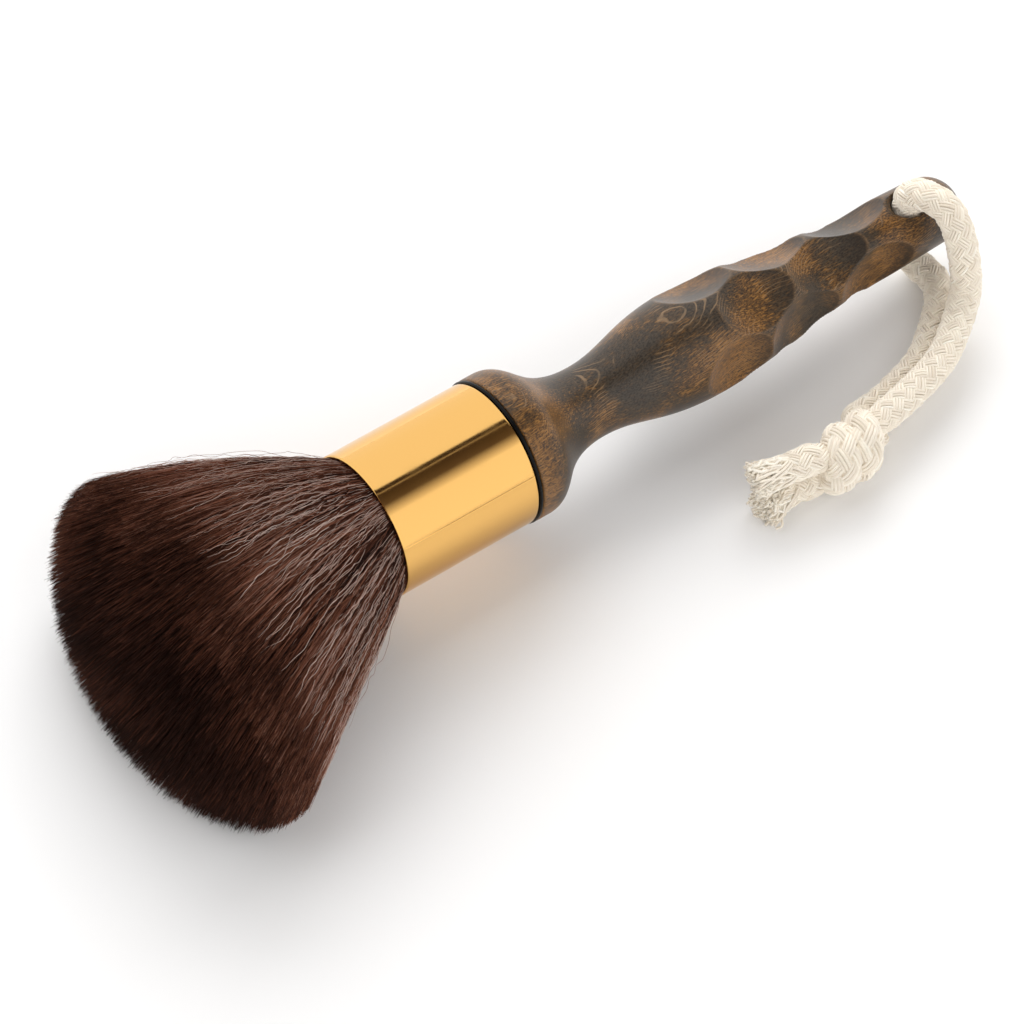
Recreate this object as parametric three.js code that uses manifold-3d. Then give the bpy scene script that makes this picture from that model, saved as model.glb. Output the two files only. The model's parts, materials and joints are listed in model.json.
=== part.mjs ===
// Neck duster brush lying on its side, in millimetres, with +Z up.
// +X runs from the bristles to the hanging loop, and the origin is under the middle of the brush.
// Along the brush, a station is a distance from the ferrule's front rim towards the handle's end,
// so the bristles that stand out of the ferrule have negative stations.
import * as THREE from 'three';
import { mergeVertices } from 'three/addons/utils/BufferGeometryUtils.js';
import Module from 'manifold-3d';

const wasm = await Module();
wasm.setup();

// Driving dimensions
const GAP = 0.3;

const FERRULE_RADIUS = 17;
const FERRULE_WALL = 0.8;
const FERRULE_LENGTH = 34.8;

const SPACER_RADIUS = 17.3;
const SPACER_THICKNESS = 0.8;

const COLLAR_RADIUS = 17.3;
const COLLAR_LENGTH = 3.2;
const COLLAR_ROUNDING = 0.7;
const NECK_RADIUS = 8.5;
const NECK_STATION = 60;
const BELLY_RADIUS = 12.9;
const BELLY_STATION = 90;
const TAIL_RADIUS = 8.6;
const TAIL_STATION = 139;
const DOME_RADIUS = 8;
const HANDLE_END_STATION = 163.7;
// How far each curve of the handle's outline keeps the direction it has at its two ends.
const COLLAR_TO_NECK = [7, 14];
const NECK_TO_BELLY = [10, 16];
const BELLY_TO_TAIL = [14, 17];
const TENON_LENGTH = 14.6;
const TENON_CHAMFER = 0.8;

const DIMPLE_ROWS = 6;
const DIMPLE_PITCH = 20.9;
const DIMPLE_DEPTH = 2.6;
const DIMPLE_FIRST_STATION = 94.4;
const DIMPLE_CURVATURE_ALONG = 22;
const DIMPLE_CURVATURE_ACROSS = 34;
const DIMPLE_ROLL = THREE.MathUtils.degToRad(24);

const CORD_RADIUS = 3.6;
const CORD_SIDES = 10;
const CORD_STEPS_PER_STRETCH = 1.6;
const CORD_BEND = 6;
const HOLE_STATION = 150.4;
const HOLE_CLEARANCE = 0.4;
const KNOT_HALF_LENGTH = 8.8;
const KNOT_PLACE = [-46.1, -37.8];
const KNOT_HALF_HEIGHT = 7.4;

const RESIN_LENGTH = 12;
const ROOT_LENGTH = 8;
const TUFT_SHOULDER = 45;
const TUFT_REACH = 67;
const TUFT_HALF_WIDTH = 44.5;
const TUFT_HALF_HEIGHT = 33;
const TUFT_DROOP = 13;
const TUFT_SWAY = 4;
const TUFT_FAN_POWER = 0.9;

const HANDLE_SIDES = 36;
const RING_SIDES = 48;
const PLUG_SIDES = 40;

const LEAN = THREE.MathUtils.degToRad(3);
const TABLE_CLEARANCE = 0.05;
const HANDLE_CLEARANCE = 0.4;

// Sizes that follow from them
const BORE_RADIUS = FERRULE_RADIUS - FERRULE_WALL;
const FILLED_RADIUS = BORE_RADIUS - GAP;
const SPACER_STATION = FERRULE_LENGTH + GAP;
const COLLAR_STATION = SPACER_STATION + SPACER_THICKNESS + GAP;
const TENON_STATION = COLLAR_STATION - TENON_LENGTH;
const DOME_STATION = HANDLE_END_STATION - DOME_RADIUS;
const HOLE_RADIUS = CORD_RADIUS + HOLE_CLEARANCE;
// The handle's end lies on the cord, so the hole's middle is this high above the table.
const HOLE_HEIGHT = TABLE_CLEARANCE + 2 * CORD_RADIUS + HANDLE_CLEARANCE + DOME_RADIUS;
const RIM_HEIGHT = HOLE_HEIGHT + HOLE_STATION * Math.sin(LEAN);
const LYING = TABLE_CLEARANCE + CORD_RADIUS - HOLE_HEIGHT;

function material(colour, roughness, metalness = 0) {
  return new THREE.MeshStandardMaterial({ color: colour, roughness, metalness });
}

function node(name, geometry, finish) {
  const mesh = new THREE.Mesh(geometry, finish);
  mesh.name = name;
  return mesh;
}

function toSolid(geometry) {
  const bare = geometry.clone();
  bare.deleteAttribute('normal');
  bare.deleteAttribute('uv');
  const welded = mergeVertices(bare, 1e-4);
  return new wasm.Manifold(new wasm.Mesh({
    numProp: 3,
    vertProperties: new Float32Array(welded.attributes.position.array),
    triVerts: new Uint32Array(welded.index.array),
  }));
}

function toGeometry(solid) {
  const mesh = solid.getMesh();
  const geometry = new THREE.BufferGeometry();
  geometry.setAttribute('position', new THREE.BufferAttribute(mesh.vertProperties, 3));
  geometry.setIndex(new THREE.BufferAttribute(mesh.triVerts, 1));
  geometry.computeVertexNormals();
  return geometry;
}

// Turns an outline of (radius, station) points around the brush's axis, which lies along X.
function turned(outline, segments) {
  return new THREE.LatheGeometry(outline, segments).rotateZ(-Math.PI / 2);
}

// Wooden handle

// A smooth curve from one radius and station to the next, along the brush where it starts and ends.
function sweep(path, [fromRadius, fromStation], [toRadius, toStation], [leaving, arriving]) {
  path.bezierCurveTo(
    fromRadius, fromStation + leaving,
    toRadius, toStation - arriving,
    toRadius, toStation,
  );
}

function handleOutline() {
  const path = new THREE.Path();
  const rounded = COLLAR_RADIUS - COLLAR_ROUNDING;
  const shoulder = COLLAR_STATION + COLLAR_LENGTH;
  path.moveTo(0, TENON_STATION);
  path.lineTo(FILLED_RADIUS - TENON_CHAMFER, TENON_STATION);
  path.lineTo(FILLED_RADIUS, TENON_STATION + TENON_CHAMFER);
  path.lineTo(FILLED_RADIUS, COLLAR_STATION);
  path.lineTo(rounded, COLLAR_STATION);
  path.lineTo(COLLAR_RADIUS, COLLAR_STATION + COLLAR_ROUNDING);
  path.lineTo(COLLAR_RADIUS, shoulder);
  const collar = [COLLAR_RADIUS, shoulder];
  const neck = [NECK_RADIUS, NECK_STATION];
  const belly = [BELLY_RADIUS, BELLY_STATION];
  const tail = [TAIL_RADIUS, TAIL_STATION];
  sweep(path, collar, neck, COLLAR_TO_NECK);
  sweep(path, neck, belly, NECK_TO_BELLY);
  sweep(path, belly, tail, BELLY_TO_TAIL);
  path.lineTo(DOME_RADIUS, DOME_STATION);
  path.absarc(0, DOME_STATION, DOME_RADIUS, 0, Math.PI / 2);
  return path.getPoints(7);
}

// The radius of the turned wood at a station between the belly and the tail, along its outline.
function bodyRadius(station) {
  const outline = handleOutline();
  const next = outline.findIndex((point) => point.y >= station && point.y > NECK_STATION);
  const [before, after] = [outline[next - 1], outline[next]];
  return THREE.MathUtils.mapLinear(station, before.y, after.y, before.x, after.x);
}

// A scoop in the grip is where a round-edged wheel has cut into it.
function dimpleCutter(row, station) {
  const roll = DIMPLE_ROLL + (row * 2 * Math.PI) / DIMPLE_ROWS;
  const away = bodyRadius(station) - DIMPLE_DEPTH + DIMPLE_CURVATURE_ALONG;
  const wheel = new THREE.SphereGeometry(1, 36, 24);
  wheel.scale(DIMPLE_CURVATURE_ALONG, DIMPLE_CURVATURE_ACROSS, DIMPLE_CURVATURE_ALONG);
  wheel.translate(0, 0, away);
  wheel.rotateX(roll);
  wheel.translate(station, 0, 0);
  return toSolid(wheel);
}

// Every second row starts half a pitch later and has one dimple fewer.
function dimpleCutters() {
  const cutters = [];
  for (let row = 0; row < DIMPLE_ROWS; row += 1) {
    const late = row % 2 === 0;
    const count = late ? 2 : 3;
    const first = DIMPLE_FIRST_STATION + (late ? DIMPLE_PITCH / 2 : 0);
    for (let index = 0; index < count; index += 1) {
      cutters.push(dimpleCutter(row, first + index * DIMPLE_PITCH));
    }
  }
  return cutters;
}

// The cord's hole is upright on the table, with mouths rounded to the bend of the cord.
function holeCutter() {
  const start = -LYING - CORD_BEND;
  const edge = CORD_BEND - HOLE_RADIUS;
  const reach = 2 * DOME_RADIUS;
  const path = new THREE.Path();
  path.moveTo(0, -reach);
  path.lineTo(CORD_BEND, -reach);
  path.lineTo(CORD_BEND, -start - edge);
  path.absarc(CORD_BEND, -start, edge, -Math.PI / 2, -Math.PI, true);
  path.lineTo(HOLE_RADIUS, start);
  path.absarc(CORD_BEND, start, edge, Math.PI, Math.PI / 2, true);
  path.lineTo(CORD_BEND, reach);
  path.lineTo(0, reach);
  const cutter = new THREE.LatheGeometry(path.getPoints(5), 32);
  cutter.rotateX(Math.PI / 2);
  cutter.rotateY(-LEAN);
  cutter.translate(HOLE_STATION, 0, 0);
  return toSolid(cutter);
}

function handle() {
  let wood = toSolid(turned(handleOutline(), HANDLE_SIDES));
  for (const cutter of [...dimpleCutters(), holeCutter()]) {
    wood = wood.subtract(cutter);
  }
  return node('handle', toGeometry(wood), material(0x4a3122, 0.45));
}

// Ferrule and what it holds

function ferrule() {
  const edge = FERRULE_WALL / 2;
  const path = new THREE.Path();
  path.moveTo(BORE_RADIUS, FERRULE_LENGTH);
  path.lineTo(BORE_RADIUS, edge);
  path.absarc(BORE_RADIUS + edge, edge, edge, Math.PI, 2 * Math.PI);
  path.lineTo(FERRULE_RADIUS, FERRULE_LENGTH);
  path.lineTo(BORE_RADIUS, FERRULE_LENGTH);
  return node('ferrule', turned(path.getPoints(4), RING_SIDES), material(0xc9a04a, 0.15, 1));
}

function spacerRing() {
  const edge = SPACER_THICKNESS / 2;
  const middle = SPACER_STATION + edge;
  const path = new THREE.Path();
  path.moveTo(FILLED_RADIUS + GAP, SPACER_STATION);
  path.lineTo(SPACER_RADIUS - edge, SPACER_STATION);
  path.absarc(SPACER_RADIUS - edge, middle, edge, -Math.PI / 2, Math.PI / 2);
  path.lineTo(FILLED_RADIUS + GAP, SPACER_STATION + SPACER_THICKNESS);
  path.lineTo(FILLED_RADIUS + GAP, SPACER_STATION);
  return node('spacer_ring', turned(path.getPoints(4), RING_SIDES), material(0x111111, 0.3));
}

function resinPlug() {
  const plug = new THREE.CylinderGeometry(FILLED_RADIUS, FILLED_RADIUS, RESIN_LENGTH, PLUG_SIDES);
  plug.rotateZ(-Math.PI / 2);
  plug.translate(ROOT_LENGTH + GAP + RESIN_LENGTH / 2, 0, 0);
  return node('resin_plug', plug, material(0x8a6a3c, 0.5));
}

// The bristles as one soft body: they fan out from the ferrule to a shoulder and end in a dome,
// droop and sway a little and are pressed flat where they lie on the table.
function tuftSections() {
  const sections = [];
  for (const depth of [-ROOT_LENGTH, 0]) {
    sections.push({ depth, width: FILLED_RADIUS, height: FILLED_RADIUS });
  }
  const fanSteps = 6;
  for (let step = 1; step <= fanSteps; step += 1) {
    const part = step / fanSteps;
    sections.push({
      depth: TUFT_SHOULDER * part,
      width: THREE.MathUtils.lerp(FILLED_RADIUS, TUFT_HALF_WIDTH, part ** TUFT_FAN_POWER),
      height: THREE.MathUtils.lerp(FILLED_RADIUS, TUFT_HALF_HEIGHT, part ** TUFT_FAN_POWER),
    });
  }
  const domeSteps = 6;
  for (let step = 1; step < domeSteps; step += 1) {
    const turn = (Math.PI / 2) * (step / domeSteps);
    sections.push({
      depth: TUFT_SHOULDER + (TUFT_REACH - TUFT_SHOULDER) * Math.sin(turn),
      width: TUFT_HALF_WIDTH * Math.cos(turn),
      height: TUFT_HALF_HEIGHT * Math.cos(turn),
    });
  }
  return sections;
}

// A point of the tuft at a depth out of the ferrule, with offsets sideways and away from the table.
function tuftPoint(depth, sideways, upwards) {
  const bend = (Math.max(depth, 0) / TUFT_REACH) ** 2;
  const rise = upwards - TUFT_DROOP * bend;
  const x = -depth * Math.cos(LEAN) + rise * Math.sin(LEAN);
  const z = RIM_HEIGHT + depth * Math.sin(LEAN) + rise * Math.cos(LEAN);
  return [x, sideways - TUFT_SWAY * bend, Math.max(z, 0)];
}

function bristleTuft() {
  const around = 32;
  const sections = tuftSections();
  const positions = [];
  for (const { depth, width, height } of sections) {
    for (let side = 0; side < around; side += 1) {
      const turn = (2 * Math.PI * side) / around;
      positions.push(...tuftPoint(depth, width * Math.cos(turn), height * Math.sin(turn)));
    }
  }
  const root = positions.length / 3;
  const tip = root + 1;
  positions.push(...tuftPoint(-ROOT_LENGTH, 0, 0), ...tuftPoint(TUFT_REACH, 0, 0));

  const triangles = [];
  const last = (sections.length - 1) * around;
  for (let side = 0; side < around; side += 1) {
    const next = (side + 1) % around;
    triangles.push(root, side, next);
    for (let row = 0; row < last; row += around) {
      triangles.push(row + side, row + around + side, row + around + next);
      triangles.push(row + side, row + around + next, row + next);
    }
    triangles.push(last + side, tip, last + next);
  }
  const geometry = new THREE.BufferGeometry();
  geometry.setAttribute('position', new THREE.Float32BufferAttribute(positions, 3));
  geometry.setIndex(triangles);
  geometry.computeVertexNormals();
  return node('bristle_tuft', geometry, material(0x2b1a15, 0.8));
}

// Cord loop: points are measured from the middle of the handle's hole.

const COTTON = [0xe8dcc4, 0.9];

function cordTube(name, points) {
  const route = new THREE.CatmullRomCurve3(points.map((point) => new THREE.Vector3(...point)));
  const section = new THREE.Shape().absarc(0, 0, CORD_RADIUS, 0, 2 * Math.PI);
  const tube = new THREE.ExtrudeGeometry(section, {
    steps: Math.ceil((points.length - 1) * CORD_STEPS_PER_STRETCH),
    curveSegments: CORD_SIDES / 2,
    bevelEnabled: false,
    extrudePath: route,
  });
  return node(name, tube, material(...COTTON));
}

// Out of the hole's upper mouth, over the handle's near side, and back to the knot on the lower leg.
function upperLeg() {
  return cordTube('cord_leg_upper', [
    [0, 0, 0.2],
    [0, 0, 3],
    [0, 0, 6],
    [0, -0.3, 9.5],
    [0.5, -2.2, 12.1],
    [1.5, -5.8, 13.3],
    [2.6, -9.5, 12.8],
    [2.8, -13, 10.3],
    [2.4, -16.2, 6],
    [1.8, -18.7, 0.4],
    [0.8, -20.4, -3.8],
    [-2.6, -23.2, -6.2],
    [-7.5, -26.7, -6.6],
    [-12, -29.6, -6.6],
    [-17, -31.8, -6.6],
    [-25.9, -34.1, -6.6],
    [-31.8, -35.2, -6.7],
    [-37.2, -35.9, -6.7],
  ]);
}

// Out of the lower mouth, under the handle, and along the table inside the upper leg.
function lowerLeg() {
  return cordTube('cord_leg_lower', [
    [0, 0, -0.2],
    [0, 0, -3],
    [0, 0, -6.05],
    [0.2, -0.8, -9.05],
    [0.6, -3, -11.25],
    [1.1, -6, LYING],
    [1.2, -9.5, LYING],
    [0, -12.9, LYING],
    [-2.4, -15.9, LYING],
    [-5.9, -18.9, LYING],
    [-10.6, -22.4, LYING],
    [-14.2, -24.8, LYING],
    [-18.5, -26.6, LYING],
    [-26.7, -28.7, LYING],
    [-32.1, -29.5, LYING],
    [-37, -30, LYING],
  ]);
}

function knot() {
  const solid = new THREE.SphereGeometry(1, 24, 16);
  solid.rotateX(Math.PI / 2);
  solid.scale(KNOT_HALF_LENGTH, KNOT_HALF_LENGTH, KNOT_HALF_HEIGHT);
  solid.translate(...KNOT_PLACE, TABLE_CLEARANCE + KNOT_HALF_HEIGHT - HOLE_HEIGHT);
  return node('cord_knot', solid, material(...COTTON));
}

function upperTail() {
  return cordTube('cord_tail_upper', [
    [-55.6, -36.4, -4.7],
    [-60, -35.6, -4.7],
    [-64, -34.6, -4.8],
    [-70.2, -33.2, -5.6],
  ]);
}

function lowerTail() {
  return cordTube('cord_tail_lower', [
    [-55.4, -37.2, LYING],
    [-60, -36.2, LYING],
    [-64, -36.2, LYING],
    [-70.2, -37, LYING],
  ]);
}

// Assembly

const leaning = new THREE.Group();
leaning.position.z = RIM_HEIGHT;
leaning.rotation.y = LEAN;
leaning.add(handle(), spacerRing(), ferrule(), resinPlug());

const brush = new THREE.Group();
brush.add(leaning, bristleTuft());

const cordLoop = new THREE.Group();
cordLoop.position.set(HOLE_STATION * Math.cos(LEAN), 0, HOLE_HEIGHT);
cordLoop.add(upperLeg(), lowerLeg(), knot(), upperTail(), lowerTail());

const extent = new THREE.Box3().setFromObject(brush, true);
const middle = extent.getCenter(new THREE.Vector3());

const group = new THREE.Group();
group.add(brush, cordLoop);
group.position.set(-middle.x, -middle.y, -extent.min.z);

export default group;
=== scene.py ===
import json
from itertools import product
from math import cos, pi, radians, sin

import bmesh
import bpy
import numpy as np
from mathutils import Matrix, Vector


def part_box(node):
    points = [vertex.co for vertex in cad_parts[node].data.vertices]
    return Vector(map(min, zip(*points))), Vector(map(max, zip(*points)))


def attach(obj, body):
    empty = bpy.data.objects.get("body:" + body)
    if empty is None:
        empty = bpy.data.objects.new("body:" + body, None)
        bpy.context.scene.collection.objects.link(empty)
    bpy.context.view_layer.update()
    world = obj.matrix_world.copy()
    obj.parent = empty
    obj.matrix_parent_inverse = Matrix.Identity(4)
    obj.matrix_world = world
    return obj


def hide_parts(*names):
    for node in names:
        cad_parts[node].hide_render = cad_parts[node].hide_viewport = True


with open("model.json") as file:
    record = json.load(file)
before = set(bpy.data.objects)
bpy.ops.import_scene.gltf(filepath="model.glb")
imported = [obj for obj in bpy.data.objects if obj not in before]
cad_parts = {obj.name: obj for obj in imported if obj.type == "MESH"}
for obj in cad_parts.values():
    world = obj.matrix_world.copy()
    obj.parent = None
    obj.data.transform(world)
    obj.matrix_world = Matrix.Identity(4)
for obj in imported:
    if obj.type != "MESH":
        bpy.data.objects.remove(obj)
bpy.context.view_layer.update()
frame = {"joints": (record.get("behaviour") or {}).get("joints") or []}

random = np.random.default_rng(7)

MM = 0.001
FULL_TURN = 2 * pi


# Camera

def make_camera():
    """The photograph's camera, aimed from the middle of the ferrule."""
    azimuth = radians(-36.41)
    elevation = radians(54.86)
    distance = 1106.5 * MM
    aim_right = 18.13 * MM
    aim_down = 4.7 * MM
    right = Vector((cos(azimuth), sin(azimuth), 0))
    back = Vector((sin(azimuth) * cos(elevation), -cos(azimuth) * cos(elevation), sin(elevation)))
    up = back.cross(right)
    low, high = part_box("ferrule")
    aim = (low + high) / 2 + right * aim_right - up * aim_down
    data = bpy.data.cameras.new("camera")
    data.sensor_width = 36
    data.lens = 180.9
    camera = bpy.data.objects.new("camera", data)
    turn = Matrix((right, up, back)).transposed().to_4x4()
    camera.matrix_world = Matrix.Translation(aim + back * distance) @ turn
    bpy.context.scene.collection.objects.link(camera)
    bpy.context.scene.camera = camera


# Meshes from arrays

def unit(vectors):
    return vectors / np.maximum(np.linalg.norm(vectors, axis=-1, keepdims=True), 1e-12)


def raised(points, height):
    """The same points, with those that lie lower than a height over the table raised to it."""
    points = points.copy()
    points[..., 2] = np.maximum(points[..., 2], height)
    return points


def tubes(name, lines, radii, sides, tone=None, near=None):
    """One mesh of closed tubes that follow lines, an array of tube by point by xyz.

    radii has one radius for each point. near is a direction at each point, never along the line,
    that the sides are counted from. tone is one number for each tube, or for each of its points,
    that the material can read.
    """
    count, length, _ = lines.shape
    along = unit(np.gradient(lines, axis=1))
    if near is None:
        near = np.broadcast_to(np.array([0.0, 0.37, 0.93]), lines.shape)
    side = unit(np.cross(along, near))
    across = np.cross(side, along)
    turn = np.arange(sides) * FULL_TURN / sides
    ring = (side[:, :, None, :] * np.cos(turn)[None, None, :, None]
            + across[:, :, None, :] * np.sin(turn)[None, None, :, None])
    points = lines[:, :, None, :] + ring * radii[:, :, None, None]

    corner = np.arange(count * length * sides).reshape(count, length, sides)
    beside = np.roll(corner, -1, axis=2)
    walls = np.stack([corner[:, :-1], corner[:, 1:], beside[:, 1:], beside[:, :-1]], axis=-1)
    ends = np.concatenate([corner[:, 0], corner[:, -1, ::-1]])
    loops = np.concatenate([walls.reshape(-1), ends.reshape(-1)])
    sizes = np.concatenate([np.full(walls.size // 4, 4), np.full(len(ends), sides)])

    mesh = bpy.data.meshes.new(name)
    mesh.vertices.add(points.size // 3)
    mesh.vertices.foreach_set("co", points.reshape(-1).astype(np.float32))
    mesh.loops.add(len(loops))
    mesh.loops.foreach_set("vertex_index", loops.astype(np.int32))
    mesh.polygons.add(len(sizes))
    mesh.polygons.foreach_set("loop_start", (np.cumsum(sizes) - sizes).astype(np.int32))
    mesh.polygons.foreach_set("use_smooth", np.ones(len(sizes), bool))
    if tone is not None:
        tones = np.broadcast_to(np.asarray(tone).reshape(count, -1), (count, length))
        values = np.repeat(tones.reshape(-1), sides).astype(np.float32)
        mesh.attributes.new("tone", "FLOAT", "POINT").data.foreach_set("value", values)
    mesh.update(calc_edges=True)
    mesh.validate()
    piece = bpy.data.objects.new(name, mesh)
    bpy.context.scene.collection.objects.link(piece)
    return piece


# Materials

class Nodes:
    """A node tree, with short ways to add its nodes and join them."""

    def __init__(self, tree):
        self.tree = tree

    def set(self, node, sockets):
        for key, value in sockets.items():
            socket = node.inputs[key if isinstance(key, int) else key.replace("_", " ")]
            if isinstance(value, bpy.types.NodeSocket):
                self.tree.links.new(value, socket)
            else:
                socket.default_value = value

    def add(self, kind, sockets, **settings):
        node = self.tree.nodes.new("ShaderNode" + kind)
        for key, value in settings.items():
            setattr(node, key, value)
        self.set(node, sockets)
        return node

    def ramp(self, value, *stops):
        """Colours along value, given as (position, colour) pairs; a plain number is a grey."""
        node = self.add("ValToRGB", {"Fac": value})
        elements = node.color_ramp.elements
        while len(elements) < len(stops):
            elements.new(1.0)
        for element, (position, colour) in zip(elements, stops):
            element.position = position
            element.color = (colour,) * 3 + (1,) if isinstance(colour, (int, float)) else (*colour, 1)
        return node.outputs["Color"]

    def math(self, operation, first, second=0.0):
        return self.add("Math", {0: first, 1: second}, operation=operation).outputs[0]


class Paint(Nodes):
    """A new material's nodes round its one shader."""

    def __init__(self, name, **sockets):
        self.material = bpy.data.materials.new(name)
        self.material.use_nodes = True
        super().__init__(self.material.node_tree)
        self.shader = self.tree.nodes["Principled BSDF"]
        self.set(self.shader, sockets)

    def place(self, turn=(0, 0, 0), start=(0, 0, 0)):
        """The object's own coordinates in millimetres, moved and turned."""
        where = self.add("TexCoord", {}).outputs["Object"]
        moved = self.add("VectorMath", {0: where, 1: tuple(-x for x in start)}, operation="ADD")
        sized = (1 / MM,) * 3
        turned = self.add("Mapping", {"Vector": moved.outputs[0], "Rotation": turn})
        return self.add("Mapping", {"Vector": turned.outputs[0], "Scale": sized}).outputs[0]

    def noise(self, where, scale, detail=2.0, roughness=0.5):
        node = self.add("TexNoise", {
            "Vector": where,
            "Scale": scale,
            "Detail": detail,
            "Roughness": roughness,
        })
        return node.outputs["Fac"]

    def mix(self, amount, first, second):
        """The first colour, with an amount of the second, a plain colour, over it."""
        return self.add("Mix", {0: amount, 6: first, 7: (*second, 1)}, data_type="RGBA").outputs[2]

    def attribute(self, name):
        return self.add("Attribute", {}, attribute_name=name).outputs["Fac"]

    def bump(self, height, distance, strength):
        sockets = {"Height": height, "Distance": distance, "Strength": strength}
        return self.add("Bump", sockets).outputs["Normal"]


def cotton_material():
    paint = Paint("cotton", Sheen_Weight=0.25, Sheen_Roughness=0.6, Specular_IOR_Level=0.2)
    patches = paint.noise(paint.place(), 0.25, detail=3.0)
    natural = paint.ramp(paint.attribute("tone"), (0.0, (0.78, 0.67, 0.52)), (0.5, (0.89, 0.8, 0.67)),
                         (0.8, (0.98, 0.9, 0.76)), (1.0, (1.0, 0.95, 0.84)))
    colour = paint.mix(paint.math("MULTIPLY", patches, 0.35), natural, (0.92, 0.87, 0.79))
    twist = paint.noise(paint.place(), 9.0)
    paint.set(paint.shader, {
        "Base_Color": colour,
        "Roughness": paint.ramp(twist, (0.3, 0.75), (0.7, 0.95)),
        "Normal": paint.bump(twist, 0.05 * MM, 0.6),
    })
    return paint.material


def fibre_material():
    paint = Paint("fibre", Specular_IOR_Level=0.05, Specular_Tint=(1, 0.78, 0.7, 1))
    # The palest stops give the crimped and pale fibres their light tone, which is painted highlight; the
    # shade core has no tone and takes the darkest stop, as painted shade.
    colour = paint.ramp(paint.attribute("tone"),
                        (0.0, (0.006, 0.003, 0.002)), (0.4, (0.032, 0.0125, 0.009)),
                        (0.7, (0.165, 0.06, 0.034)), (0.82, (0.31, 0.125, 0.075)),
                        (0.92, (0.6, 0.42, 0.35)), (1.0, (0.72, 0.56, 0.49)))
    grain = paint.noise(paint.place(), 2.0)
    paint.set(paint.shader, {
        "Base_Color": colour,
        "Roughness": paint.ramp(grain, (0.3, 0.45), (0.7, 0.65)),
    })
    return paint.material


# Routes

def smooth_line(points, step):
    """Points a step apart on the natural cubic spline through the given points."""
    points = np.asarray(points, float)
    chord = np.linalg.norm(np.diff(points, axis=0), axis=1)
    knots = np.concatenate([[0], np.cumsum(chord)])
    system = np.eye(len(points))
    slopes = np.zeros_like(points)
    for row in range(1, len(points) - 1):
        before, after = chord[row - 1], chord[row]
        system[row, row - 1:row + 2] = before, 2 * (before + after), after
        slopes[row] = 6 * ((points[row + 1] - points[row]) / after
                           - (points[row] - points[row - 1]) / before)
    bend = np.linalg.solve(system, slopes)
    at = np.linspace(0, knots[-1], 96 * len(points))
    piece = np.clip(np.searchsorted(knots, at, side="right") - 1, 0, len(chord) - 1)
    size = chord[piece][:, None]
    left = (at - knots[piece])[:, None] / size
    right = 1 - left
    curve = (right * points[piece] + left * points[piece + 1]
             + size ** 2 / 6 * ((right ** 3 - right) * bend[piece]
                                + (left ** 3 - left) * bend[piece + 1]))
    walked = np.concatenate([[0], np.cumsum(np.linalg.norm(np.diff(curve, axis=0), axis=1))])
    stations = np.arange(0, walked[-1], step)
    return np.stack([np.interp(stations, walked, curve[:, k]) for k in range(3)], axis=1)


def carried_frame(line):
    """Two directions across a line at each of its points, turning no more than they have to."""
    along = unit(np.gradient(line, axis=0))
    first = np.cross(along[0], (0.3, 0.9, 0.2))
    frames = np.zeros_like(line)
    for row, direction in enumerate(along):
        first = unit(first - direction * np.dot(first, direction))
        frames[row] = first
    return along, frames, np.cross(along, frames)


# Cotton cord: one length, doubled through the handle's hole, so each half has a leg, a wrap of the
# knot and a tail. Route points are measured from the middle of the hole, which is the hinge.

HOLE = np.array(frame["joints"][0]["pos_m"])
CORD_RADIUS = 3.6 * MM
TABLE_CLEARANCE = 0.05 * MM
# The height of the cord where it lies on the table, from the hinge like the route points.
LYING = TABLE_CLEARANCE + CORD_RADIUS - HOLE[2]

UPPER_LEG = [
    (0, 0, 0.0002),
    (0, 0, 0.003),
    (0, 0, 0.006),
    (0, -0.0003, 0.0095),
    (0.0005, -0.0022, 0.0121),
    (0.0015, -0.0058, 0.0133),
    (0.0026, -0.0095, 0.0128),
    (0.0028, -0.013, 0.0103),
    (0.0024, -0.0162, 0.006),
    (0.0018, -0.0187, 0.0004),
    (0.0008, -0.0204, -0.0038),
    (-0.0026, -0.0232, -0.0062),
    (-0.0075, -0.0267, -0.0066),
    (-0.012, -0.0296, -0.0066),
    (-0.017, -0.0318, -0.0066),
    (-0.0259, -0.0341, -0.0066),
    (-0.0318, -0.0352, -0.0067),
    (-0.0372, -0.0359, -0.0067),
]
LOWER_LEG = [
    (0, 0, -0.0002),
    (0, 0, -0.003),
    (0, 0, -0.00605),
    (0.0002, -0.0008, -0.00905),
    (0.0006, -0.003, -0.01125),
    (0.0011, -0.006, LYING),
    (0.0012, -0.0095, LYING),
    (0, -0.0129, LYING),
    (-0.0024, -0.0159, LYING),
    (-0.0059, -0.0189, LYING),
    (-0.0106, -0.0224, LYING),
    (-0.0142, -0.0248, LYING),
    (-0.0185, -0.0266, LYING),
    (-0.0267, -0.0287, LYING),
    (-0.0321, -0.0295, LYING),
    (-0.037, -0.03, LYING),
]
UPPER_TAIL = [
    (-0.0556, -0.0364, -0.0047),
    (-0.06, -0.0356, -0.0047),
    (-0.064, -0.0346, -0.0048),
    (-0.0702, -0.0332, -0.0056),
]
LOWER_TAIL = [
    (-0.0554, -0.0372, LYING),
    (-0.06, -0.0362, LYING),
    (-0.064, -0.0362, LYING),
    (-0.0702, -0.037, LYING),
]

KNOT_MIDDLE = np.array([-0.0461, -0.0378, 0.0074 - HOLE[2]])
WRAP_RADIUS = 3.2 * MM
WRAP_PITCH = 10 * MM
WRAP_OFFSET = 3 * MM
WRAP_GIRTH = 1.17
INNER_GIRTH = 0.75
WRAP_FACING = radians(30)
KNOT_REACH = 9.5 * MM
KNOT_EASE = 2 * MM


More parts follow.
